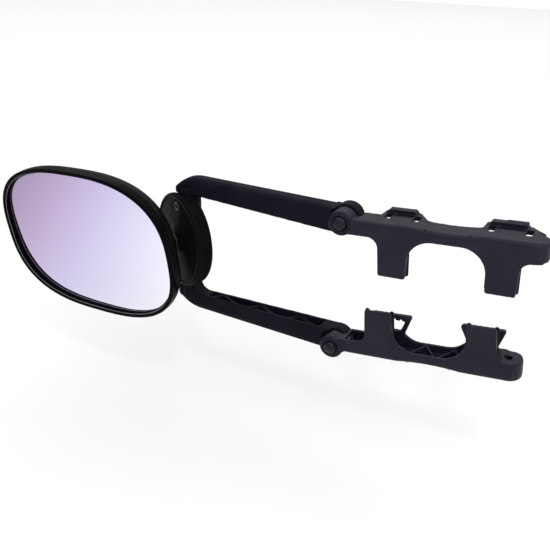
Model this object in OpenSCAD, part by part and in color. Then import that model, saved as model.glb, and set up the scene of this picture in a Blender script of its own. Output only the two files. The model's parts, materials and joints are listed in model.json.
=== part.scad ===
// Clip-on towing mirror: a mirror head on a ball joint, a round swivel hub,
// two parallel extension arms and two hinged clamp bars with gripping tabs.
// +Z is up, +X runs along the arms from the head to the clamp and +Y points
// away from the driver. The origin is the middle of the clamp's grip, on the
// rear faces of the tab strips.

/* [Clamp] */
// Distance between the two hinge pins
pin_gap = 118.6; // [112:0.2:126]
// Hinge pins, measured from the middle of the grip
pin_back = 88; // [86:1:92]
// Rise of the upper clamp bar towards its free end, degrees
upper_tilt = 4.2; // [0:0.1:6]
// Rise of the lower clamp bar towards its free end, degrees
lower_tilt = 6.7; // [3:0.1:8]
// Reach of the gripping tabs past the hinge line
tab_reach = 41.4; // [36:0.2:42]
// Width of a tab at its tip
tab_w = 23; // [20:0.5:26]
// Distance from the hinge to the middle of the first tab
tab_1 = 44.3; // [43:0.5:47]
// Distance from the hinge to the middle of the second tab
tab_2 = 130.4; // [126:0.5:132]
// Distance from the hinge to the bar's free end
bar_len = 162; // [158:0.5:164]
// Wall thickness of the moulded bars
bar_wall = 2.8; // [2.2:0.1:3.2]

/* [Arms] */
// Radius of the bar's hinge barrel
barrel_r = 10.9; // [10:0.1:11.4]
// Radius of the arm's hinge ear
ear_r = 12.6; // [12:0.1:13]
// Height of an arm at the hub
arm_h = 17.3; // [14:0.1:18]
// Depth of an arm at the hub
arm_d = 13.6; // [12:0.1:15]
// Wall thickness of the arms
arm_wall = 2.6; // [2.2:0.1:3]

/* [Hub] */
// Radius of the swivel hub
hub_r = 45.8; // [42:0.1:48]
// Swivel of the hub about its vertical axis, degrees
hub_turn = 30; // [25:1:32]
// Height of the hub's centre above the middle of the grip
hub_z = 4.5; // [3:0.5:6]
// Distance from the hub's front plate to the ball's centre
ball_out = 24; // [23:0.5:26]
// Radius of the ball
ball_r = 8; // [7.5:0.1:8.2]

/* [Head] */
// Half the length of the mirror glass
glass_a = 100.5; // [94:0.5:102]
// Half the height of the mirror glass
glass_b = 71.4; // [67:0.2:73]
// Squareness of the head's outline
squareness = 2.7; // [2.4:0.1:3]
// Width of the front lip
lip_w = 4.2; // [4:0.1:6]
// Depth of the head's side wall behind the glass
side_d = 4; // [4:0.5:8]
// Depth of the domed rear cover
dome_d = 34; // [30:0.5:35]

/* [Hidden] */
$fn = 48;
eps = 0.01;
gap = 0.3;
fit = 0.05;

black = [0.09, 0.09, 0.1];
steel = [0.62, 0.63, 0.65];
rubber = [0.05, 0.05, 0.05];

// Clamp: "d" is the distance from the hinge line towards the other bar
pin_z = pin_gap / 2;
face_y = -7.2;
strip_d = 1.6;
flange_y = -strip_d;
back_y = 16;
outer_d = -4.1;
inner_d = 6.8;
waist_d = 1.8;
waist_r = (27 * 27 + waist_d * waist_d) / (2 * waist_d);
pod_d = 12.5;
barrel_y = 5;
ring_y = face_y - 1.4;
bolt_r = 3;
bore_r = bolt_r + fit;

// Arms
arm_front = -0.3;
arm_back = 17.7;
arm_outer = pin_z + 9.3;
arm_inner = pin_z - 12.4;
ear_y = barrel_y + 0.8;

// Hub: the swivel axis is vertical, the disc sits in front of it
axis_x = -250;
axis_y = 12.3;
disc_off = 5;
plate_back = 4;
plate_front = 9;
disc_back = -8;
post_r = 5.8;
knuckle_r = 8.6;
knuckle_in = 31.5;
post_in = 13.5;
socket_in = 17;
screw_r = 34.5;
rim_r = hub_r - 0.9;
hub_wall = 2.6;
elbow_r = 33;
hub_n = [-sin(hub_turn), -cos(hub_turn), 0];
hub_c = [axis_x, axis_y, hub_z] + disc_off * hub_n;

// Ball joint
ball_c = hub_c + (plate_front + ball_out) * hub_n;
stem_r = 4;
liner_r = 10.5;
seat_r = liner_r + fit;
housing_r = 14.5;
cover_w = -11.2;
tilt_mid = 7;
pan_mid = 1.5;

// Head: its own frame has the glass in the XZ plane, facing -Y
head_c = [-335.3, -41.4, -2.1];
head_yaw = -1.5;
head_pitch = 7.1;
head_roll = -3.2;
wall = 2.4;
lip_front = -3.6;
frame_back = 7;
glass_t = 3;
pad_t = 0.8;
carrier_t = 1.2;
ring_n = 72;

function rot_x(a) = [[1, 0, 0], [0, cos(a), -sin(a)], [0, sin(a), cos(a)]];
function rot_y(a) = [[cos(a), 0, sin(a)], [0, 1, 0], [-sin(a), 0, cos(a)]];
function rot_z(a) = [[cos(a), -sin(a), 0], [sin(a), cos(a), 0], [0, 0, 1]];
function flip(m) = [for (i = [0:2]) [for (j = [0:2]) m[j][i]]];
head_m = rot_z(head_yaw) * rot_x(head_pitch) * rot_y(head_roll);
ball_l = flip(head_m) * (ball_c - head_c);
liner_dir = flip(head_m) * (rot_z(pan_mid) * -hub_n);
socket_dir = flip(head_m) * (rot_x(tilt_mid) * rot_z(pan_mid) * -hub_n);
rim_a = glass_a + lip_w;
rim_b = glass_b + lip_w;

// ---------- helpers ----------

// Rounds the outer corners of a flat outline
module rounded(r) { offset(r) offset(-r) children(); }

// Fills the inner corners of a flat outline
module filleted(r) { offset(-r) offset(r) children(); }

// Stands a flat XZ outline up and gives it a depth from y0 to y1
module slab(y0, y1) {
    translate([0, y1, 0]) rotate([90, 0, 0]) linear_extrude(y1 - y0) children();
}

// A cylinder along Y
module rod(r, y0, y1) {
    translate([0, y0, 0]) rotate([-90, 0, 0]) cylinder(r = r, h = y1 - y0);
}

// Turns +Z to the direction v
module aim(v) { rotate([0, acos(v[2] / norm(v)), atan2(v[1], v[0])]) children(); }

// The two clamps: children are drawn with +Z as "d", towards the other bar
module at_upper() {
    translate([-pin_back, 0, pin_z]) rotate([0, -upper_tilt, 0]) mirror([0, 0, 1]) children();
}
module at_lower() {
    translate([-pin_back, 0, -pin_z]) rotate([0, -lower_tilt, 0]) children();
}

// Places children in the hub's frame: +Z is the plate's outward normal, +Y is up
module at_hub() {
    translate(hub_c) rotate([90, 0, -hub_turn]) children();
}

// Places children in the head's frame
module at_head() {
    translate(head_c) rotate([head_pitch, 0, head_yaw]) rotate([0, head_roll, 0]) children();
}

// Places children at the ball's centre with +Z out of the socket's mouth
module at_socket() { at_head() translate(ball_l) aim(socket_dir) children(); }

// ---------- clamp bars ----------

// Front outline of a bar with its two tabs, in x and d
module tab_outline(mid) {
    polygon([[mid - tab_w / 2 - 1.5, 0], [mid - tab_w / 2, tab_reach],
        [mid + tab_w / 2, tab_reach], [mid + tab_w / 2 + 1.5, 0]]);
}
module bar_shape() {
    rounded(1.8) for (m = [tab_1, tab_2]) tab_outline(m);
    translate([0, outer_d]) square([bar_len - 13, inner_d - outer_d]);
    translate([0, outer_d]) square([tab_1, inner_d - outer_d + 2.2]);
    translate([tab_2, outer_d]) rounded(4) square([bar_len - tab_2, pod_d - outer_d]);
}
module bar_outline() {
    difference() {
        union() {
            filleted(9) bar_shape();
            intersection() {
                filleted(20) bar_shape();
                translate([tab_1, outer_d + 2]) square([tab_2 - tab_1, 60]);
            }
        }
        // shallow waist between the tabs
        translate([(tab_1 + tab_2) / 2, outer_d - waist_r + waist_d]) circle(r = waist_r, $fn = 180);
    }
}
// Side outline of the bar's body without the tabs' free height
module wall_outline(high) {
    intersection() {
        bar_outline();
        translate([0, outer_d]) square([bar_len, high - outer_d]);
    }
}
// Plan of the bar: straight sides and a full round free end
module bar_plan(inset = 0) {
    r = (back_y - face_y) / 2 - 1.2;
    offset(-inset) hull() {
        translate([0, face_y]) square([20, back_y - face_y]);
        translate([bar_len - r, back_y - r]) circle(r = r);
        translate([bar_len - r, face_y + r]) circle(r = r);
        translate([bar_len - 20, face_y]) square([8, back_y - face_y]);
    }
}
// Zig-zag ribs between two walls; "lean" is the share of a pair that its first rib takes
module zigzag(x0, x1, n, lean, half, y0, y1) {
    pair = 2 * (x1 - x0) / n;
    for (i = [0:n - 1]) {
        low = i % 2 == 0;
        start = x0 + pair * (floor(i / 2) + (low ? 0 : lean));
        end = x0 + pair * (floor(i / 2) + (low ? lean : 1));
        a = [start, low ? y0 : y1];
        b = [end, low ? y1 : y0];
        u = (b - a) / norm(b - a);
        side = [-u[1], u[0]] * half;
        polygon([a - side, b - side, b + side, a + side]);
    }
}
// Gripping tab: a front plate with a flange along each side
module tab(mid) {
    intersection() {
        slab(face_y, flange_y) filleted(9) union() {
            rounded(1.8) tab_outline(mid);
            translate([mid - 26, outer_d]) square([52, inner_d - outer_d]);
        }
        union() {
            translate([mid - 40, face_y, outer_d]) cube([80, 2.8, 60]);
            for (s = [-1, 1]) translate([mid + s * (tab_w / 2 - 0.6) - 1.6, face_y, 0])
                cube([3.2, 5.6, tab_reach - 2.4]);
        }
    }
}
// Bar body: an open channel with ribs, a hinge barrel and a round free end
module bar_body(high) {
    pod_x = bar_len - 11.5;
    mid_y = (face_y + back_y) / 2;
    difference() {
        union() {
            // shell of the channel
            difference() {
                intersection() {
                    translate([0, 0, outer_d]) linear_extrude(60) bar_plan();
                    union() {
                        slab(face_y, face_y + bar_wall) bar_outline();
                        slab(face_y, back_y) wall_outline(high);
                    }
                }
                translate([13, 0, outer_d + bar_wall + 0.7]) linear_extrude(60) intersection() {
                    translate([-13, 0]) bar_plan(bar_wall);
                    translate([0, -40]) square([pod_x - 22, 80]);
                }
            }
            // ribs and cross walls
            translate([0, 0, outer_d + 2.4]) linear_extrude(inner_d - outer_d - 3.8)
                zigzag(20, pod_x - 8, 10, 0.5, 0.8, face_y + 1.5, back_y - 1.5);
            for (m = [tab_1, tab_2]) tab(m);
            rod(barrel_r, ring_y + 2, barrel_y);
            // rounded front of the barrel
            translate([0, ring_y + 2, 0]) rotate([90, 0, 0]) rotate_extrude() polygon(concat([[0, 0]],
                [for (a = [0:15:90]) [barrel_r - 2 + 2 * cos(a), 2 * sin(a)]], [[0, 2]]));
            translate([0, face_y, outer_d]) cube([16, barrel_y - face_y, inner_d - outer_d]);
        }
        // room for the arm's ear behind the barrel
        rod(ear_r + 0.9, barrel_y, back_y + 5);
        // bolt hole, head seat and front groove
        rod(bore_r, ring_y - 1, back_y);
        rod(6.6, ring_y - 1, ring_y + 1.6);
        translate([0, ring_y + 1, 0]) rotate([90, 0, 0]) difference() {
            cylinder(r = 8.9, h = 3);
            translate([0, 0, -1]) cylinder(r = 7.5, h = 5);
        }
        // blind bore in the free end
        translate([pod_x, mid_y, inner_d - 6]) cylinder(r = 3.2, h = 30);
    }
}
// Strap loop behind the outer face, with a tongue between its two windows
module strap_loop(x0, x1, slant) {
    top = outer_d;
    y_out = 29.5;
    t = 4.2;
    difference() {
        union() {
            translate([0, 0, top]) linear_extrude(t) rounded(1.6)
                polygon([[x0, 12], [x0 + 1, y_out], [x1 - slant, y_out], [x1, 12]]);
            // raised bridge that the strap passes under
            slab(21.4, y_out - 0.6) rounded(1) polygon([[x0 + 1.6, top + 2], [x0 + 5.5, top - 3.4],
                [x1 - slant - 3.5, top - 3.4], [x1 - slant + 0.4, top + 2]]);
        }
        for (w = [[x0 + 4.6, 5], [x1 - slant - 2.5, 5]])
            translate([w[0], 8.5, top - 1]) cube([w[1], 12.5, 12]);
        translate([x0 + 11.5, 8.5, top - 1]) cube([x1 - slant - x0 - 16, 12.5, 3]);
    }
}
module loop_windows(x0, x1, slant) {
    for (w = [[x0 + 4.6, 5], [x1 - slant - 2.5, 5]])
        translate([w[0], 8.5, outer_d - 1]) cube([w[1], 12.5, 16]);
}
// Upright strap buckle on the rear wall, with notches along its window
module buckle(x1) {
    w = 38;
    top = 31.4;
    sill = 16.2;
    lintel = 26.2;
    slab(back_y - 4.4, back_y) difference() {
        rounded(2) polygon([[x1 - w + 8, outer_d + 4], [x1 - w + 7, top - 17], [x1 - w, top],
            [x1, top], [x1 - 7, top - 17], [x1 - 8, outer_d + 4]]);
        rounded(0.8) polygon([[x1 - w + 11, sill], [x1 - w + 6.5, lintel], [x1 - 6.5, lintel],
            [x1 - 11, sill]]);
        for (i = [0:3]) translate([x1 - w + 10 + i * 5.6, lintel - 0.6]) square([1.6, 2.2]);
    }
}

module upper_clamp_bar() {
    color(black) at_upper() difference() {
        union() {
            bar_body(11.5);
            strap_loop(26.8, 68.6, 11);
            strap_loop(109.5, 160, 15.7);
            // rounded hump behind the second loop
            translate([134, 25.8, outer_d - 0.6]) rotate([0, 90, 0]) translate([0, 0, -8])
                cylinder(r = 4, h = 16);
        }
        loop_windows(26.8, 68.6, 11);
        loop_windows(109.5, 160, 15.7);
    }
}
module lower_clamp_bar() {
    color(black) at_lower() union() {
        bar_body(13.5);
        buckle(69.3);
        buckle(147.3);
    }
}
// Rubber strips on the rear edges of the tabs' flanges
module tab_strips() {
    for (m = [tab_1, tab_2]) for (s = [-1, 1]) {
        x = m + s * (tab_w / 2 - 0.6);
        translate([x - 2, flange_y, 16]) cube([4, strip_d, tab_reach - 18.6]);
        translate([x, flange_y, tab_reach - 2.6]) rotate([-90, 0, 0])
            cylinder(r = 2, h = strip_d);
    }
}
module upper_tab_strips() { color(rubber) at_upper() tab_strips(); }
module lower_tab_strips() { color(rubber) at_lower() tab_strips(); }

// ---------- hinge hardware ----------

// Round-head bolt: low dome, neck and shank
module hinge_bolt() {
    rotate([90, 0, 0]) translate([0, 0, -ring_y - 1.6]) rotate_extrude() polygon(concat(
        [[0, 0], [5.9, 0]], [for (a = [0:10:90]) [5.9 * cos(a), 1.4 + 4 * sin(a)]]));
    rod(bolt_r, ring_y + 1.6, arm_back + 5.4);
}
module hinge_washer() {
    difference() {
        rod(9, barrel_y + 0.1, ear_y - 0.1);
        rod(bore_r, barrel_y - 1, ear_y + 1);
    }
}
module hinge_nut() {
    difference() {
        union() {
            rod(8, arm_back + 0.15, arm_back + 1.5);
            translate([0, arm_back + 1.5 - eps, 0]) rotate([-90, 0, 0])
                cylinder(r = 5.8, h = 3.6, $fn = 6);
        }
        rod(bolt_r, arm_back - 2, arm_back + 9);
    }
}
module upper_hinge_bolt() { color(steel) at_upper() hinge_bolt(); }
module upper_hinge_washer() { color(rubber) at_upper() hinge_washer(); }
module upper_hinge_nut() { color(steel) at_upper() hinge_nut(); }
module lower_hinge_bolt() { color(steel) at_lower() hinge_bolt(); }
module lower_hinge_washer() { color(rubber) at_lower() hinge_washer(); }
module lower_hinge_nut() { color(steel) at_lower() hinge_nut(); }

// ---------- arms ----------

// Side outline of an arm, in x and height above the middle. The elbow turns into a neck
// that stops at height "foot", just clear of the hub's edge
module arm_side(foot) {
    low = arm_outer - arm_h;
    filleted(10) union() {
        polygon([[-pin_back, arm_inner], [-pin_back, arm_outer], [axis_x + 14, arm_outer],
            [axis_x + 14, low]]);
        intersection() {
            translate([axis_x + 14, arm_outer - elbow_r]) circle(r = elbow_r, $fn = 96);
            translate([axis_x - 14.5, foot]) union() {
                square([14.5 + knuckle_r, arm_outer]);
                translate([0, low - foot]) square([29, 30]);
            }
        }
    }
}
// Plan of an arm: straight back, tapering front
module arm_plan(inset = 0) {
    r = arm_d / 2;
    offset(-inset) hull() {
        translate([-pin_back - 1, arm_front]) square([1, arm_back - arm_front]);
        translate([axis_x - 7, axis_y]) circle(r = r);
        translate([axis_x + 10, axis_y - r]) square([1, arm_d]);
    }
}
// An arm above the middle plane, with its channel open towards the other arm;
// hub_off is the height of the hub's centre as this arm sees it
module arm(hub_off) {
    low = arm_outer - arm_h;
    foot = hub_off + knuckle_in;
    neck = hub_off + hub_r + 0.6;
    difference() {
        union() {
            difference() {
                intersection() {
                    slab(-30, 50) arm_side(neck);
                    linear_extrude(200) arm_plan();
                }
                intersection() {
                    slab(-30, 50) difference() {
                        translate([0, -arm_wall]) arm_side(neck);
                        translate([axis_x - 40, 0]) square([64, 200]);
                        translate([-pin_back - 16, 0]) square([40, 200]);
                    }
                    linear_extrude(200) arm_plan(arm_wall);
                }
            }
            // zig-zag ribs inside the channel
            translate([0, 0, low]) linear_extrude(arm_h - 1) intersection() {
                arm_plan(1.2);
                zigzag(axis_x + 23, -pin_back - 13, 6, 0.3, 1.6, arm_front + 2.4, arm_back - 1);
            }
            translate([-pin_back, 0, pin_z]) rod(ear_r, ear_y, arm_back);
            // knuckle and post at the hub
            translate([axis_x, axis_y, foot]) cylinder(r = knuckle_r, h = low - foot + 4);
            translate([axis_x, axis_y, hub_off + post_in]) cylinder(r = post_r, h = 19);
        }
        // room for the bar's barrel in front of the ear
        translate([-pin_back, 0, pin_z]) rod(barrel_r + 1.8, -20, ear_y);
        translate([-pin_back - eps, -20, pin_z - 30]) cube([60, 20 + ear_y, 60]);
        translate([-pin_back, 0, pin_z]) rod(bore_r, -20, 40);
        // groove for the lock screw, and groove for the retaining ring
        translate([axis_x, axis_y, hub_off + screw_r - 2.6])
            ring_cut(knuckle_r - 2.2, knuckle_r + 1, 5.2);
        translate([axis_x, axis_y, hub_off + socket_in - 1.4])
            ring_cut(post_r - 1, post_r + 1, 1.2);
    }
}
// A flat ring, used as a groove's cutter and as a washer
module ring_cut(r_in, r_out, h) {
    difference() {
        cylinder(r = r_out, h = h);
        translate([0, 0, -1]) cylinder(r = r_in, h = h + 2);
    }
}
module upper_arm() { color(black) arm(hub_z); }
module lower_arm() { color(black) mirror([0, 0, 1]) arm(-hub_z); }

// Rings that keep the posts in their sockets
module retaining_ring(hub_off) {
    translate([axis_x, axis_y, hub_off + socket_in - 1.3]) ring_cut(post_r - 1, post_r + 2.4, 1);
}
module upper_retaining_ring() { color(steel) retaining_ring(hub_z); }
module lower_retaining_ring() { color(steel) mirror([0, 0, 1]) retaining_ring(-hub_z); }

// ---------- hub: +Z is the front plate's normal, +Y is up ----------

// Places children on the vertical swivel axis, once up and once down
module both_sockets() {
    for (s = [0, 1]) mirror([0, s, 0]) translate([0, 0, -disc_off]) rotate([-90, 0, 0])
        children();
}
// Places children at the four screws that hold the rear body to the plate
module at_rear_screws() {
    for (a = [25, 155, 205, 335]) rotate(a) translate([hub_r - 9, 0, 0]) children();
}
module hub_rear_body() {
    color(black) at_hub() difference() {
        union() {
            difference() {
                rotate_extrude($fn = 96) polygon([[0, disc_back], [rim_r - 5, disc_back],
                    [rim_r - 2.2, disc_back + 0.8], [rim_r - 0.6, disc_back + 2.6],
                    [rim_r, disc_back + 5], [rim_r, plate_back - gap], [0, plate_back - gap]]);
                translate([0, 0, disc_back + hub_wall])
                    cylinder(r = rim_r - hub_wall - 0.6, h = 40);
            }
            intersection() {
                both_sockets() translate([0, 0, socket_in]) cylinder(r = knuckle_r + 2.8, h = 28);
                union() {
                    translate([-40, -60, -60]) cube([80, 120, 60 + plate_back - gap]);
                }
                translate([0, 0, -60]) cylinder(r = rim_r + 1, h = 100);
            }
            translate([0, 0, disc_back + 1]) at_rear_screws()
                cylinder(r = 4.2, h = plate_back - gap - disc_back - 1);
            // stiffening ribs inside the back wall
            for (a = [0, 30, 60, 120, 150, 180, 210, 240, 300, 330]) rotate(a)
                translate([20, -0.8, disc_back + 1]) cube([rim_r - 23, 1.6, 5.5]);
        }
        // knuckle pockets and post bores
        both_sockets() translate([0, 0, knuckle_in - gap]) cylinder(r = knuckle_r + gap, h = 40);
        both_sockets() cylinder(r = post_r + fit, h = 60);
        both_sockets() translate([0, 0, post_in - 2])
            cylinder(r = post_r + 2.8, h = socket_in - post_in + 1.9);
        translate([0, 0, disc_back - 1]) at_rear_screws() {
            cylinder(r = 1.8, h = 30);
            cylinder(r = 3.4, h = 3.2);
        }
        translate([0, 0, disc_back + hub_wall]) cylinder(r = socket_in - 1.6, h = 40);
        for (s = [-1, 1]) translate([0, s * screw_r, 0]) cylinder(r = 2.3, h = 20);
    }
}
module hub_front_plate() {
    color(black) at_hub() difference() {
        union() {
            rotate_extrude($fn = 96) polygon(concat([[0, plate_back]], [[hub_r, plate_back]],
                [for (a = [0:15:90]) [hub_r - 2.6 + 2.6 * cos(a), plate_front - 2.6 + 2.6 * sin(a)]],
                [[0, plate_front]]));
            translate([0, 0, plate_front - eps]) cylinder(r1 = 12.5, r2 = 10.5, h = 1.6);
            at_rear_screws() translate([0, 0, plate_back]) cylinder(r = 4, h = 3);
        }
        translate([0, 0, -1]) cylinder(r = 4 + fit, h = 30);
        for (s = [-1, 1]) translate([0, s * screw_r, 0]) {
            cylinder(r = 2, h = 30);
            translate([0, 0, plate_front - 2.2]) cylinder(r = 5.6, h = 10);
        }
        at_rear_screws() translate([0, 0, plate_back - 1]) cylinder(r = 1.5, h = 4.4);
        // shallow ring line just inside the rim
        translate([0, 0, plate_front - 0.5]) ring_cut(hub_r - 5.6, hub_r - 5, 2);
    }
}
// Lock screws: their tips run in the knuckles' grooves
module hub_lock_screws() {
    tip = -disc_off + knuckle_r - 1.6;
    color(steel) at_hub() for (s = [-1, 1]) translate([0, s * screw_r, 0]) difference() {
        union() {
            translate([0, 0, tip]) cylinder(r = 1.9, h = plate_front - 2 - tip);
            translate([0, 0, plate_front - 2.2]) cylinder(r = 4.6, h = 2);
        }
        translate([0, 0, plate_front - 1.3]) cylinder(r = 2.3, h = 3, $fn = 6);
    }
}
module hub_rear_screws() {
    color(steel) at_hub() at_rear_screws() difference() {
        union() {
            translate([0, 0, disc_back + 0.2]) cylinder(r = 3.2, h = 2);
            translate([0, 0, disc_back + 0.4]) cylinder(r = 1.5, h = plate_back + 3 - disc_back);
        }
        translate([0, 0, disc_back - 1]) cylinder(r = 1.5, h = 2.2, $fn = 6);
    }
}

// ---------- ball joint ----------

module ball_stem() {
    color(steel) at_hub() {
        top = plate_front + ball_out;
        difference() {
            translate([0, 0, top]) sphere(r = ball_r);
            translate([0, 0, top + ball_r - 1]) cylinder(r = 2, h = 4, $fn = 6);
        }
        translate([0, 0, plate_front + 3]) cylinder(r = stem_r, h = ball_out - 3 - ball_r / 2);
        translate([0, 0, plate_front + 1.6]) cylinder(r = 8, h = 3);
        translate([0, 0, -1.5]) cylinder(r = 4, h = plate_front + 4);
    }
}
module stem_washer() {
    color(steel) at_hub() translate([0, 0, plate_back - 1.3]) ring_cut(4.2, 8, 1.2);
}
module stem_nut() {
    color(steel) at_hub() translate([0, 0, plate_back - 4.9]) difference() {
        cylinder(r = 7, h = 3.6, $fn = 6);
        translate([0, 0, -1]) cylinder(r = 4, h = 8);
    }
}
// Split plastic liner round the ball
module ball_liner() {
    color(rubber) at_head() translate(ball_l) aim(liner_dir) difference() {
        rotate_extrude() polygon(concat(
            [for (a = [50:6:128]) liner_r * [sin(a), cos(a)]], [[6, -4.7], [5.9, 4.9]]));
        sphere(r = ball_r + fit);
        translate([0, -0.5, -20]) cube([20, 1, 40]);
    }
}
// Places children at the cover's four screws
module at_cover_screws() {
    for (a = [45:90:315]) rotate(a) translate([12.5, 0, 0]) children();
}
// Socket housing: seat for the liner, open at the back for the pressure pad
module socket_housing() {
    mouth = seat_r * [sin(46), cos(46)];
    color(black) at_socket() difference() {
        rotate_extrude($fn = 72) polygon([[0, cover_w + 1.4], [housing_r, cover_w + 1.4],
            [housing_r, 10], [housing_r - 1, 11], [0, 11]]);
        rotate_extrude($fn = 72) polygon(concat([[0, cover_w], [seat_r, cover_w]],
            [for (a = [90:-4:46]) seat_r * [sin(a), cos(a)]], [[12, 11.5], [0, 11.5]]));
        at_cover_screws() translate([0, 0, cover_w]) cylinder(r = 0.9, h = 9);
    }
}
module pressure_pad() {
    color(rubber) at_socket() difference() {
        translate([0, 0, -8.85]) cylinder(r = 4.6, h = 3.2);
        sphere(r = ball_r + fit);
    }
}
module pressure_spring() {
    color(steel) at_socket() rotate_extrude()
        polygon([[2, -9.3], [2, -8.9], [5, -9.35], [5, -9.75]]);
}
module socket_cover() {
    color(steel) at_socket() difference() {
        translate([0, 0, cover_w]) cylinder(r = housing_r, h = 1.4 - fit);
        at_cover_screws() translate([0, 0, cover_w - 1]) {
            cylinder(r = 1.1, h = 5);
            cylinder(r = 1.7, h = 1.9);
        }
    }
}
module socket_screws() {
    color(steel) at_socket() at_cover_screws() translate([0, 0, cover_w + 0.1]) {
        cylinder(r = 1.6, h = 0.75);
        cylinder(r = 0.9 - fit, h = 7);
    }
}

// ---------- head ----------

// Rounded-rectangle outline with half sizes a and b
function bend(v) = sign(v) * pow(abs(v), 2 / squareness);
function outline(a, b) = [for (i = [0:ring_n - 1])
    let (t = 360 * i / ring_n) [a * bend(cos(t)), b * bend(sin(t))]];

// Slice of the head from y0 to y1 that grows from [a0, b0] to [a1, b1]
module slice(y0, y1, a0, b0, a1, b1) {
    translate([0, y1, 0]) rotate([90, 0, 0])
        linear_extrude(y1 - y0, scale = [a0 / a1, b0 / b1], slices = 1)
            polygon(outline(a1, b1));
}
// Solid dome behind the side wall, with depth d
module dome(a, b, d) {
    steps = [0, 8, 16, 25, 34, 43, 52, 61, 70, 79];
    rows = len(steps);
    pts = concat([for (t = steps) for (q = outline(a, b)) let (k = pow(cos(t), 0.85))
        [q[0] * k, side_d + gap / 3 + d * sin(t), q[1] * k]], [[0, side_d + gap / 3 + d, 0]]);
    polyhedron(pts, concat(
        [[for (i = [ring_n - 1:-1:0]) i]],
        [for (r = [0:rows - 2]) for (i = [0:ring_n - 1]) for (half = [0, 1])
            let (m = r * ring_n, j = (i + 1) % ring_n)
            half == 0 ? [m + i, m + ring_n + j, m + ring_n + i] : [m + i, m + j, m + ring_n + j]],
        [for (i = [0:ring_n - 1]) let (m = (rows - 1) * ring_n)
            [m + i, m + (i + 1) % ring_n, rows * ring_n]]), convexity = 4);
}
// Domed rear cover with a collar round the socket housing
module rear_cover() {
    color(black) at_head() difference() {
        union() {
            difference() {
                dome(rim_a, rim_b, dome_d);
                translate([0, -eps, 0]) dome(rim_a - wall, rim_b - wall, dome_d - wall);
            }
            intersection() {
                dome(rim_a - 1, rim_b - 1, dome_d - 1);
                translate(ball_l) aim(socket_dir) translate([0, 0, -7])
                    cylinder(r = housing_r + 2.4, h = 30);
            }
        }
        translate(ball_l) aim(socket_dir) translate([0, 0, -30])
            cylinder(r = housing_r + fit, h = 70, $fn = 72);
    }
}
// Lip, side wall and the ledge behind the glass
module front_frame() {
    color(black) at_head() difference() {
        union() {
            slice(lip_front, lip_front + 1.4, rim_a - 1.2, rim_b - 1.2, rim_a, rim_b);
            slice(lip_front + 1.4, side_d, rim_a, rim_b, rim_a, rim_b);
            slice(side_d, frame_back, glass_a + 1.4, glass_b + 1.4, glass_a + 1, glass_b + 1);
        }
        slice(lip_front - eps, 0, glass_a + 1.2, glass_b + 1.2, glass_a, glass_b);
        slice(-eps, 5.1, glass_a, glass_b, glass_a, glass_b);
        slice(5, frame_back + 1, glass_a - 8, glass_b - 8, glass_a - 8, glass_b - 8);
    }
}
module glass_carrier() {
    color(black) at_head() slice(glass_t + pad_t, glass_t + pad_t + carrier_t,
        glass_a - 0.6, glass_b - 0.6, glass_a - 0.6, glass_b - 0.6);
}
module adhesive_pad() {
    color(rubber) at_head() slice(glass_t, glass_t + pad_t,
        glass_a - 4, glass_b - 4, glass_a - 4, glass_b - 4);
}
module mirror_glass() {
    color([0.8, 0.82, 0.88]) at_head()
        slice(0, glass_t, glass_a - 0.3, glass_b - 0.3, glass_a - 0.3, glass_b - 0.3);
}

upper_clamp_bar();
upper_tab_strips();
upper_hinge_bolt();
upper_hinge_washer();
upper_hinge_nut();
upper_arm();
lower_clamp_bar();
lower_tab_strips();
lower_hinge_bolt();
lower_hinge_washer();
lower_hinge_nut();
lower_arm();
hub_rear_body();
hub_front_plate();
hub_lock_screws();
hub_rear_screws();
upper_retaining_ring();
lower_retaining_ring();
ball_stem();
stem_washer();
stem_nut();
ball_liner();
socket_housing();
pressure_pad();
pressure_spring();
socket_cover();
socket_screws();
rear_cover();
front_frame();
glass_carrier();
adhesive_pad();
mirror_glass();
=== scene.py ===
"""Looks for the clip-on towing mirror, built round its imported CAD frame.

Lengths are in millimetres, as in the CAD source, and become metres where a mesh is made.
"""
import json
import math

import bmesh
import bpy
import numpy as np
from mathutils import Matrix, Vector


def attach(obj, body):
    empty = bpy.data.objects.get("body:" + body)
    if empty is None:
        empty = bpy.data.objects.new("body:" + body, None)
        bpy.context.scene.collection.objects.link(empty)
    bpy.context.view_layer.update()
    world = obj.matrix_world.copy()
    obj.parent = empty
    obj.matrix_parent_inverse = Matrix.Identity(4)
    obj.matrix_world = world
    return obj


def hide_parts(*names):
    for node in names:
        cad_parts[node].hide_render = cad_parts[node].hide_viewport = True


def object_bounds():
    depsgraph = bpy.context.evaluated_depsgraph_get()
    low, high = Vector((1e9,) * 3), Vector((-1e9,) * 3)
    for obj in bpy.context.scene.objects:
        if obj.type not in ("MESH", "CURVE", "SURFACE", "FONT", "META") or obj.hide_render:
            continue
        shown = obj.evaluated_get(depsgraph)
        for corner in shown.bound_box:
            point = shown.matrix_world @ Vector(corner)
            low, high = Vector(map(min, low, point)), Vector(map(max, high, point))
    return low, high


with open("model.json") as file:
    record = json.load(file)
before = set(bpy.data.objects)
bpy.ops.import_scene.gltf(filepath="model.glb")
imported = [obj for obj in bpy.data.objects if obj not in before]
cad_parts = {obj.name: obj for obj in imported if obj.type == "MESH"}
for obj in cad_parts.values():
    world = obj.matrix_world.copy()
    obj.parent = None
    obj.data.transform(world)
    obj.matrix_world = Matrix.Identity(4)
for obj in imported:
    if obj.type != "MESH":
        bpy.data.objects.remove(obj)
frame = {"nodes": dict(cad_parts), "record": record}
nodes = frame["nodes"]
cad_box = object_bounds()

MM = 0.001  # metres in a millimetre

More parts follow.
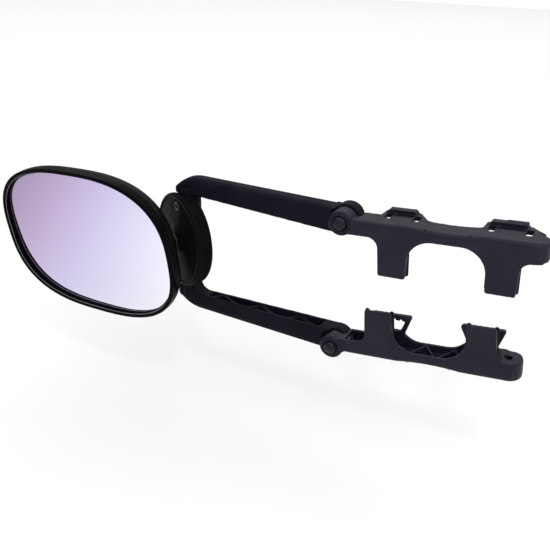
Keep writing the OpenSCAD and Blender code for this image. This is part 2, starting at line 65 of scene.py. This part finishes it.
# Driving dimensions, the same as the CAD's
HEAD_CENTRE, HEAD_YAW, HEAD_PITCH, HEAD_ROLL = (-335.3, -41.4, -2.1), -1.5, 7.1, -3.2
GLASS_A, GLASS_B, SQUARENESS = 100.5, 71.4, 2.7
LIP, LIP_FRONT, SIDE, DOME, WALL, FRAME_BACK = 4.2, -3.6, 4.0, 34.0, 2.4, 7.0
BALL_OUT, TILT_MID, PAN_MID, HOUSING_R = 24.0, 7.0, 1.5, 14.5
PIN_BACK, PIN_Z, UPPER_TILT, LOWER_TILT = 88.0, 59.3, 4.2, 6.7
AXIS_X, AXIS_Y, HUB_Z, HUB_TURN, DISC_OFF = -250.0, 12.3, 4.5, 30.0, 5.0
HUB_R, PLATE_BACK, PLATE_FRONT, SCREW_R = 45.8, 4.0, 9.0, 34.5
BAR_LEN, FACE_Y, BACK_Y, OUTER_D, END_R = 162.0, -7.2, 16.0, -4.1, 10.4
WAIST_X, WAIST_D, WAIST_HALF = 87.35, 1.8, 27.0
ARM_OUTER, ARM_FRONT, ARM_BACK, ARM_D, ELBOW_R = 68.6, -0.3, 17.7, 13.6, 33.0
ELBOW_X, TIP_X, EAR_R, BARREL_EDGE = AXIS_X + 14, AXIS_X - 14, 13, 11.5

# Rolled edges: the bars' front edge, and the arms' front and rear outer edges
BAR_ROLL, ARM_FRONT_ROLL, ARM_REAR_ROLL = 3.6, 5.0, 3.6

SHARP_ANGLE = math.radians(38)  # edges of the built pieces above this stay crisp
SMOOTH_ANGLE = math.radians(180)  # the remeshed copies have no crisp edge

# Studio: lights are name, place in metres, size in metres, watts
WORLD_LIGHT, WORLD_BACKDROP = 0.25, 1.0
FLOOR_SIZE, FLOOR_DROP = 14, 0.1
LIGHTS = (("softbox", (-0.1, 0.3, 5.0), 20.0, 1430),
          ("fill", (0.9, -1.5, 0.9), 1.2, 4),
          ("glint", (0.3, -0.7, 1.0), 0.12, 1.6))
LIGHTS_AIM = (-0.15, 0, 0)

# Camera: place in metres, lens in millimetres, and its right and backward directions
CAMERA_PLACE, CAMERA_LENS = (0.09605, -0.4905, 0.2587), 43.85
CAMERA_RIGHT, CAMERA_BACK = (0.887, 0.461, 0.030), (0.404, -0.805, 0.435)


def turn(axis, degrees):
    return Matrix.Rotation(math.radians(degrees), 4, axis)


def place(x, y, z):
    return Matrix.Translation((x, y, z))


hub_out = Vector((-math.sin(math.radians(HUB_TURN)), -math.cos(math.radians(HUB_TURN)), 0))
hub_centre = Vector((AXIS_X, AXIS_Y, HUB_Z)) + DISC_OFF * hub_out
AT_HEAD = place(*HEAD_CENTRE) @ turn("Z", HEAD_YAW) @ turn("X", HEAD_PITCH) @ turn("Y", HEAD_ROLL)
AT_HUB = place(*hub_centre) @ turn("Z", -HUB_TURN) @ turn("X", 90)
AT_UPPER = place(-PIN_BACK, 0, PIN_Z) @ turn("Y", -UPPER_TILT) @ Matrix.Scale(-1, 4, (0, 0, 1))
AT_LOWER = place(-PIN_BACK, 0, -PIN_Z) @ turn("Y", -LOWER_TILT)
ball_centre = AT_HEAD.inverted() @ (hub_centre + (PLATE_FRONT + BALL_OUT) * hub_out)
socket_out = AT_HEAD.inverted().to_3x3() @ (turn("X", TILT_MID) @ turn("Z", PAN_MID) @ -hub_out)
AT_SOCKET = AT_HEAD @ place(*ball_centre) @ socket_out.to_track_quat("Z", "Y").to_matrix().to_4x4()


# ---------- materials ----------

def new_material(name):
    material = bpy.data.materials.new(name)
    material.use_nodes = True
    tree = material.node_tree
    return material, tree, tree.nodes["Principled BSDF"]


def noise(tree, scale, detail, rough=0.5):
    """Noise in object coordinates, where one unit is a metre."""
    coords = tree.nodes.new("ShaderNodeTexCoord")
    node = tree.nodes.new("ShaderNodeTexNoise")
    node.inputs["Scale"].default_value = scale
    node.inputs["Detail"].default_value = detail
    node.inputs["Roughness"].default_value = rough
    tree.links.new(coords.outputs["Object"], node.inputs["Vector"])
    return node.outputs["Fac"]


def ramp(tree, source, stops):
    """Colour ramp through (position, colour) stops."""
    node = tree.nodes.new("ShaderNodeValToRGB")
    ends = node.color_ramp.elements
    for element, (position, colour) in zip((ends[0], ends[1]), (stops[0], stops[-1])):
        element.position = position
        element.color = (*colour, 1)
    for position, colour in stops[1:-1]:
        ends.new(position).color = (*colour, 1)
    tree.links.new(source, node.inputs["Fac"])
    return node.outputs["Color"]


def bump(tree, shader, height, distance):
    node = tree.nodes.new("ShaderNodeBump")
    node.inputs["Distance"].default_value = distance
    node.inputs["Strength"].default_value = 1.0
    tree.links.new(height, node.inputs["Height"])
    tree.links.new(node.outputs["Normal"], shader.inputs["Normal"])


def moulded_plastic(name, dark, light, rough, grain, grain_scale=1500, gloss=0.5):
    """Plastic or coating with a fine grain, "grain" metres deep, and faint handling marks."""
    material, tree, shader = new_material(name)
    shader.inputs["Specular IOR Level"].default_value = gloss
    tree.links.new(ramp(tree, noise(tree, 38, 5), [(0.3, dark), (0.72, light)]),
                   shader.inputs["Base Color"])
    low, high = rough - 0.05, rough + 0.08
    worn = noise(tree, 90, 4, 0.6)
    tree.links.new(ramp(tree, worn, [(0.3, (low,) * 3), (0.7, (high,) * 3)]),
                   shader.inputs["Roughness"])
    bump(tree, shader, noise(tree, grain_scale, 2), grain)
    return material


def metal(name, colour, rough):
    """Bare or browned metal with slightly uneven colour and polish."""
    material, tree, shader = new_material(name)
    shader.inputs["Metallic"].default_value = 1
    dull = tuple(0.75 * c for c in colour)
    tree.links.new(ramp(tree, noise(tree, 600, 4), [(0.35, dull), (0.65, colour)]),
                   shader.inputs["Base Color"])
    low, high = rough - 0.08, rough + 0.1
    tree.links.new(ramp(tree, noise(tree, 2500, 2), [(0.3, (low,) * 3), (0.7, (high,) * 3)]),
                   shader.inputs["Roughness"])
    return material


def silvered_glass():
    """Mirror whose base colour holds a painted reflection: dark lavender towards one corner, near white
    towards the opposite one.
    """
    material, tree, shader = new_material("silvered_glass")
    shader.inputs["Metallic"].default_value = 1
    shader.inputs["Roughness"].default_value = 0.03
    coords = tree.nodes.new("ShaderNodeTexCoord")
    split = tree.nodes.new("ShaderNodeVectorMath")
    split.operation = "DOT_PRODUCT"
    split.inputs[1].default_value = (3.6, 0, -2.6)
    shift = tree.nodes.new("ShaderNodeMath")
    shift.inputs[1].default_value = 1.72
    tree.links.new(coords.outputs["Object"], split.inputs[0])
    tree.links.new(split.outputs["Value"], shift.inputs[0])
    # painted reflection: this gradient stands in for the surroundings seen in the mirror, on top of the
    # real reflections
    tree.links.new(ramp(tree, shift.outputs["Value"],
                        [(0.0, (0.31, 0.24, 0.36)), (0.28, (0.49, 0.38, 0.58)),
                         (0.5, (0.60, 0.545, 0.77)), (0.75, (0.77, 0.74, 0.91)),
                         (1.0, (0.97, 0.95, 0.99))]),
                   shader.inputs["Base Color"])
    return material


# Name, darkest and lightest colour, roughness, grain depth in metres, grain scale, gloss
BAR = moulded_plastic("clamp_black", (0.0062, 0.0057, 0.0128), (0.0122, 0.0112, 0.0238),
                      0.44, 0.00006, 1300, 0.19)
ARM = moulded_plastic("arm_black", (0.0045, 0.0041, 0.0082), (0.0085, 0.008, 0.0145),
                      0.55, 0.00005, 1500, 0.05)
HUB = moulded_plastic("hub_black", (0.0036, 0.0035, 0.0044), (0.007, 0.0068, 0.0084),
                      0.34, 0.0001, 800, 0.012)
SHELL = moulded_plastic("shell_black", (0.002, 0.002, 0.0024), (0.0035, 0.0035, 0.0042),
                        0.38, 0.00004, 1200, 0.05)
RIM = moulded_plastic("rim_black", (0.0012, 0.0012, 0.0015), (0.0022, 0.0022, 0.0027),
                      0.34, 0.00001, 1500, 0.03)
# the bead's light grey is a painted highlight: the lit line along the rim's inner bevel
RIM_HIGHLIGHT_PAINT = moulded_plastic("rim_bead_painted_highlight", (0.085, 0.079, 0.102), (0.150, 0.141, 0.176),
                       0.22, 0.00001, 1500, 0.45)
RUBBER = moulded_plastic("grip_rubber", (0.004, 0.004, 0.004), (0.009, 0.009, 0.009),
                         0.68, 0.00008, 700, 0.2)
COATED = moulded_plastic("black_zinc", (0.007, 0.0068, 0.0105), (0.012, 0.0116, 0.0175),
                         0.36, 0.00002, 1500, 0.18)
LINER = moulded_plastic("greased_liner", (0.10, 0.10, 0.11), (0.15, 0.15, 0.16), 0.35, 0.00002)
FOAM = moulded_plastic("cell_foam", (0.05, 0.05, 0.055), (0.08, 0.08, 0.085), 0.85, 0.0003, 900)
BALL = metal("browned_steel", (0.085, 0.083, 0.088), 0.24)
MIRROR = silvered_glass()
BY_SLOT = {"clamp_plastic": BAR, "grip_rubber": RUBBER, "hinge_steel": COATED,
           "washer_plastic": LINER, "arm_plastic": ARM, "hub_plastic": HUB,
           "screw_steel": COATED, "ball_steel": BALL, "liner_plastic": LINER,
           "head_plastic": SHELL, "rim_plastic": RIM, "pad_foam": FOAM, "mirror": MIRROR}


# ---------- mesh helpers ----------

def new_piece(name, verts, faces, matrix, material, body, slot, *replaced):
    """A piece from points in millimetres, put in place by "matrix"."""
    mesh = bpy.data.meshes.new(name)
    mesh.from_pydata([tuple(v * MM for v in matrix @ Vector(p)) for p in verts], [], faces)
    piece = bpy.data.objects.new(name, mesh)
    bpy.context.scene.collection.objects.link(piece)
    bm = bmesh.new()
    bm.from_mesh(mesh)
    bmesh.ops.recalc_face_normals(bm, faces=bm.faces)
    bm.to_mesh(mesh)
    bm.free()
    return finish_piece(piece, material, body, slot, *replaced)


def finish_piece(piece, material, body, slot, *replaced):
    """Gives a piece its material and body, and hides the CAD nodes it stands for. The slot argument is
    not used.
    """
    piece.data.materials.clear()
    piece.data.materials.append(material)
    piece.data.shade_smooth()
    piece.data.set_sharp_from_angle(angle=SHARP_ANGLE)
    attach(piece, body)
    if replaced:
        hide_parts(*replaced)
    return piece


def apply_modifiers(piece):
    """Makes a piece's modifiers part of its mesh."""
    graph = bpy.context.evaluated_depsgraph_get()
    mesh = bpy.data.meshes.new_from_object(piece.evaluated_get(graph))
    old = piece.data
    piece.modifiers.clear()
    piece.data = mesh
    bpy.data.meshes.remove(old)


def loft(loops, closed_profile=False):
    """Faces between loops of equal length; the ends are capped unless the profile is closed."""
    n, rows = len(loops[0]), len(loops)
    verts = [p for loop in loops for p in loop]
    faces = []
    for r in range(rows if closed_profile else rows - 1):
        a, b = r * n, ((r + 1) % rows) * n
        faces += [(a + i, a + (i + 1) % n, b + (i + 1) % n, b + i) for i in range(n)]
    if not closed_profile:
        faces += [tuple(range(n)), tuple(range((rows - 1) * n, rows * n))]
    return verts, faces


def arc(cx, cy, r, start, end, steps):
    """Points on an arc, angles in degrees."""
    return [(cx + r * math.cos(math.radians(start + (end - start) * i / steps)),
             cy + r * math.sin(math.radians(start + (end - start) * i / steps)))
            for i in range(steps + 1)]


def lathe(profile, steps=96):
    """Loops about +Z from (radius, height) points."""
    return [[(r * math.cos(2 * math.pi * i / steps), r * math.sin(2 * math.pi * i / steps), z)
             for i in range(steps)] for r, z in profile]


def moulded(name, node, body, slot, voxel=0.5, rounds=4, reshape=None):
    """A copy of a CAD node with the soft edges and filled corners that a moulding has.

    "voxel" is the mesh's fineness in millimetres and "rounds" the passes of smoothing.
    "reshape" takes the dense mesh's points in millimetres and returns them moved.
    """
    piece = bpy.data.objects.new(name, nodes[node].data.copy())
    bpy.context.scene.collection.objects.link(piece)
    remesh = piece.modifiers.new("remesh", "REMESH")
    remesh.mode = "VOXEL"
    remesh.voxel_size = voxel * MM * 1
    if reshape:
        apply_modifiers(piece)
        points = np.empty(len(piece.data.vertices) * 3, dtype=np.float32)
        piece.data.vertices.foreach_get("co", points)
        moved = reshape(points.reshape(-1, 3).astype(float) / MM) * MM
        piece.data.vertices.foreach_set("co", moved.astype(np.float32).ravel())
    smooth = piece.modifiers.new("smooth", "SMOOTH")
    smooth.factor, smooth.iterations = 0.5, rounds
    decimate = piece.modifiers.new("decimate", "DECIMATE")
    decimate.ratio = 0.35
    apply_modifiers(piece)
    finish_piece(piece, BY_SLOT[slot], body, slot, node)
    piece.data.set_sharp_from_angle(angle=SMOOTH_ANGLE)
    return piece


def cut(piece, *tools):
    """Takes the tool solids out of a piece."""
    for verts, faces, matrix in tools:
        mesh = bpy.data.meshes.new("cutter")
        mesh.from_pydata([tuple(v * MM for v in matrix @ Vector(p)) for p in verts], [], faces)
        bm = bmesh.new()
        bm.from_mesh(mesh)
        bmesh.ops.recalc_face_normals(bm, faces=bm.faces)
        bm.to_mesh(mesh)
        bm.free()
        tool = bpy.data.objects.new("cutter", mesh)
        bpy.context.scene.collection.objects.link(tool)
        boolean = piece.modifiers.new("cut", "BOOLEAN")
        boolean.object, boolean.operation, boolean.solver = tool, "DIFFERENCE", "EXACT"
        apply_modifiers(piece)
        bpy.data.objects.remove(tool)
    piece.data.shade_smooth()
    piece.data.set_sharp_from_angle(angle=SHARP_ANGLE)


def round_over(points, a, b, a_in, b_in, radius, where):
    """Rolls the edge between two faces to a radius.

    a and b are each point's depth under the two faces, and a_in and b_in point into the solid.
    """
    u, v = radius - a, radius - b
    reach = np.hypot(u, v)
    near = where & (a < radius) & (b < radius) & (reach > radius) & (a > -1) & (b > -1)
    scale = np.where(near, radius / np.maximum(reach, 1e-9), 1.0)
    return points + (u * (1 - scale))[:, None] * a_in + (v * (1 - scale))[:, None] * b_in


# ---------- clamp and arms ----------

def roll_bar(at):
    """Rounds a clamp bar's outer front edge, and carries the rounding about its free end."""
    to_bar, from_bar = np.array(at.inverted()), np.array(at)

    def reshape(points):
        p = points @ to_bar[:3, :3].T + to_bar[:3, 3]
        x, y, d = p.T
        waist_r = (WAIST_HALF ** 2 + WAIST_D ** 2) / (2 * WAIST_D)
        dip = np.sqrt(np.maximum(waist_r ** 2 - (x - WAIST_X) ** 2, 0)) - waist_r + WAIST_D
        under = d - OUTER_D - np.where(np.abs(x - WAIST_X) < WAIST_HALF, np.maximum(dip, 0), 0)
        cx, cy = BAR_LEN - END_R, np.clip(y, FACE_Y + END_R, BACK_Y - END_R)
        from_axis = np.hypot(x - cx, y - cy)
        in_end = x > cx
        depth = np.where(in_end, END_R - from_axis, y - FACE_Y)
        inward = np.zeros_like(p)
        inward[:, 0] = np.where(in_end, -(x - cx) / np.maximum(from_axis, 1e-6), 0)
        inward[:, 1] = np.where(in_end, -(y - cy) / np.maximum(from_axis, 1e-6), 1)
        down = np.tile((0.0, 0.0, 1.0), (len(p), 1))
        p = round_over(p, depth, under, inward, down, BAR_ROLL, x > BARREL_EDGE)
        return p @ from_bar[:3, :3].T + from_bar[:3, 3]
    return reshape


def roll_arm(side):
    """Rounds an arm's two outer edges, along the arm and over the elbow."""
    half = ARM_D / 2

    def reshape(points):
        for face, radius in ((-1, ARM_FRONT_ROLL), (1, ARM_REAR_ROLL)):
            x, y, z = points.T
            z = z * side
            along = np.clip((x + PIN_BACK + 1) / (AXIS_X + 11 + PIN_BACK + 1), 0, 1)
            if face < 0:
                depth = y - (ARM_FRONT + along * (AXIS_Y - half - ARM_FRONT))
            else:
                depth = ARM_BACK + along * (AXIS_Y + half - ARM_BACK) - y
            cz = ARM_OUTER - ELBOW_R
            from_axis = np.hypot(x - ELBOW_X, z - cz)
            bent = x < ELBOW_X
            under = np.where(bent, ELBOW_R - from_axis, ARM_OUTER - z)
            inward = np.zeros_like(points)
            inward[:, 1] = -face
            down = np.zeros_like(points)
            down[:, 0] = np.where(bent, -(x - ELBOW_X) / np.maximum(from_axis, 1e-6), 0)
            down[:, 2] = np.where(bent, -(z - cz) / np.maximum(from_axis, 1e-6), -1) * side
            # the rounding fades where the elbow turns into the neck, and at the round tip
            fade = np.clip((z - cz - 6) / 14, 0, 1) * np.clip((x - TIP_X) / 7, 0, 1)
            rolled = np.maximum(radius * fade * fade * (3 - 2 * fade), 1e-3)
            where = (x < -PIN_BACK - EAR_R) & (z > cz)
            points = round_over(points, depth, under, inward, down, rolled, where)
        return points
    return reshape


# ---------- head ----------

def outline(out, y, steps=240):
    """Loop of the head's outline, "out" millimetres outside the glass, at depth y."""
    def bend(v):
        return math.copysign(abs(v) ** (2 / SQUARENESS), v)
    angles = [2 * math.pi * i / steps for i in range(steps)]
    return [((GLASS_A + out) * bend(math.cos(t)), y, (GLASS_B + out) * bend(math.sin(t)))
            for t in angles]


def front_frame():
    """Rim round the glass: ledge, inner bevel, lip and side, with a fine bead on the bevel whose light
    grey is a painted highlight.
    """
    profile = ([(-8, 5.1), (0, 5.1), (0, 0.2), (0.1, -0.8), (0.75, -2.3)]
               + arc(1.35, LIP_FRONT + 0.55, 0.5, 170, 290, 6) + [(1.95, LIP_FRONT + 0.42)]
               + arc(LIP - 1.9, LIP_FRONT + 1.9, 1.9, 262, 360, 10)
               + [(LIP, 0.5), (LIP, SIDE - 0.4), (LIP - 0.3, SIDE), (1.3, SIDE), (1.0, FRAME_BACK),
                  (-8, FRAME_BACK)])
    verts, faces = loft([outline(s, y) for s, y in profile], closed_profile=True)
    new_piece("rim", verts, faces, AT_HEAD, RIM, "head", "rim_plastic", "front_frame")
    # the bead carries the painted highlight along the rim's inner bevel
    bead = arc(0.62, LIP_FRONT + 1.75, 0.42, 0, 345, 23)
    verts, faces = loft([outline(s, y) for s, y in bead], closed_profile=True)
    new_piece("rim_bead", verts, faces, AT_HEAD, RIM_HIGHLIGHT_PAINT, "head", "rim_plastic", "front_frame")


def rear_shell():
    """Domed cover with the round mouth of the socket cut through it."""
    def rows(out, depth, angles):
        loops = []
        for t in angles:
            k = math.cos(math.radians(t)) ** 0.85
            y = SIDE + 0.1 + depth * math.sin(math.radians(t))
            loops.append([(x * k, y, z * k) for x, _, z in outline(out, 0)])
        return loops
    angles = [3 * i for i in range(29)] + [86.2, 88, 89.4]
    verts, faces = loft(rows(LIP - 0.1, DOME, angles) + rows(LIP - WALL, DOME - WALL, angles[::-1]),
                        closed_profile=True)
    n = len(outline(0, 0))
    faces = [f for i, f in enumerate(faces) if i // n != len(angles) - 1]
    last = (len(angles) - 1) * n
    faces += [tuple(range(last, last + n)), tuple(range(last + n, last + 2 * n))]
    piece = new_piece("shell", verts, faces, AT_HEAD, SHELL, "head", "head_plastic", "rear_cover")
    mouth = [(HOUSING_R + 0.3, -9), (HOUSING_R + 0.3, 8.5), (HOUSING_R + 1.2, 16), (HOUSING_R + 1.2, 60)]
    cut(piece, (*loft(lathe(mouth, 128)), AT_SOCKET))
    return piece


def hub_plate():
    """Front plate: rounded rim, groove, recessed lock screws and a boss for the stem."""
    profile = ([(4.05, PLATE_BACK), (HUB_R, PLATE_BACK)]
               + arc(HUB_R - 2.6, PLATE_FRONT - 2.6, 2.6, 0, 90, 12)
               + [(42.1, 8.85), (41.5, 8.45), (40.9, 8.3), (40.2, 8.45), (39.6, 8.75), (13.2, 8.75),
                  (12.5, 9.1), (11.4, 10.3), (10.6, PLATE_FRONT + 1.6), (4.05, PLATE_FRONT + 1.6)])
    verts, faces = loft(lathe(profile, 160), closed_profile=True)
    piece = new_piece("hub_plate", verts, faces, AT_HUB, HUB, "hub", "hub_plastic", "hub_front_plate")
    tools = []
    for side in (-1, 1):
        recess = [(2.05, -3), (2.05, 6.75), (5.4, 6.8), (5.6, 7.1), (5.9, 9.1), (5.9, 20)]
        tools.append((*loft(lathe(recess, 48)), AT_HUB @ place(0, side * SCREW_R, 0)))
        slot = [[(-1.6, 4.6, z), (1.6, 4.6, z), (1.2, 7.6, z), (-1.2, 7.6, z)] for z in (7.4, 12)]
        tools.append((*loft([[(x, side * y, z) for x, y, z in loop] for loop in slot]),
                      AT_HUB @ place(0, side * SCREW_R, 0)))
    cut(piece, *tools)
    return piece


def mirror_glass():
    """Flat glass with a softened front edge."""
    verts, faces = loft([outline(s, y) for s, y in [(-0.3, 3), (-0.3, 0.55), (-0.5, 0.2), (-1.0, 0)]])
    return new_piece("glass", verts, faces, AT_HEAD, MIRROR, "head", "mirror", "mirror_glass")


def studio():
    """White floor under one large softbox, with a small fill and a glint."""
    world = bpy.data.worlds.new("studio")
    world.use_nodes = True
    tree = world.node_tree
    tree.nodes["Background"].inputs["Color"].default_value = (1, 1, 1, 1)
    # dim as a light, white as the backdrop
    rays = tree.nodes.new("ShaderNodeLightPath")
    level = tree.nodes.new("ShaderNodeMapRange")
    level.inputs["To Min"].default_value = WORLD_LIGHT
    level.inputs["To Max"].default_value = WORLD_BACKDROP
    tree.links.new(rays.outputs["Is Camera Ray"], level.inputs["Value"])
    tree.links.new(level.outputs["Result"], tree.nodes["Background"].inputs["Strength"])
    bpy.context.scene.world = world
    bpy.context.scene.view_settings.view_transform = "Standard"
    floor_z = cad_box[0][2] - FLOOR_DROP
    bpy.ops.mesh.primitive_plane_add(size=FLOOR_SIZE, location=(0, 0, floor_z))
    floor = bpy.context.object
    floor.name = "floor"
    material, tree, shader = new_material("pale_floor")
    shader.inputs["Base Color"].default_value = (0.86, 0.86, 0.865, 1)
    shader.inputs["Roughness"].default_value = 0.9
    shader.inputs["Specular IOR Level"].default_value = 0.1
    floor.data.materials.append(material)
    for name, spot, size, power in LIGHTS:
        data = bpy.data.lights.new(name, "AREA")
        data.size, data.energy = size, power
        lamp = bpy.data.objects.new(name, data)
        lamp.location = spot
        aim = Vector(LIGHTS_AIM) - Vector(spot)
        lamp.rotation_euler = aim.to_track_quat("-Z", "Y").to_euler()
        bpy.context.scene.collection.objects.link(lamp)


def camera():
    data = bpy.data.cameras.new("camera")
    data.sensor_width = 36
    data.lens = CAMERA_LENS
    data.clip_start = 0.01
    rig = bpy.data.objects.new("camera", data)
    right = Vector(CAMERA_RIGHT).normalized()
    back = Vector(CAMERA_BACK)
    back = (back - back.dot(right) * right).normalized()
    axes = Matrix((right, back.cross(right), back)).transposed()
    rig.matrix_world = place(*CAMERA_PLACE) @ axes.to_4x4()
    bpy.context.scene.collection.objects.link(rig)
    bpy.context.scene.camera = rig


# ---------- build ----------

# the nodes that keep their CAD shape get their slot's material
for part in frame["record"]["subparts"]:
    node = nodes[part["node"]]
    node.data.materials.clear()
    node.data.materials.append(BY_SLOT[part["material_slot"]])
front_frame()
mirror_glass()
rear_shell()
hub_plate()
moulded("hub_body", "hub_rear_body", "hub", "hub_plastic", rounds=3)
moulded("housing", "socket_housing", "head", "hub_plastic", voxel=0.4)
moulded("stem", "ball_stem", "stem", "ball_steel", voxel=0.35, rounds=3)
for end, at, side in (("upper", AT_UPPER, 1), ("lower", AT_LOWER, -1)):
    clamp = end + "_clamp"
    moulded("bar_" + end, end + "_clamp_bar", clamp, "clamp_plastic", reshape=roll_bar(at))
    moulded("arm_" + end, end + "_arm", end + "_arm", "arm_plastic", reshape=roll_arm(side))
    moulded("strips_" + end, end + "_tab_strips", clamp, "grip_rubber", voxel=0.35, rounds=3)
    moulded("bolt_" + end, end + "_hinge_bolt", clamp, "hinge_steel", voxel=0.35, rounds=3)
studio()
camera()
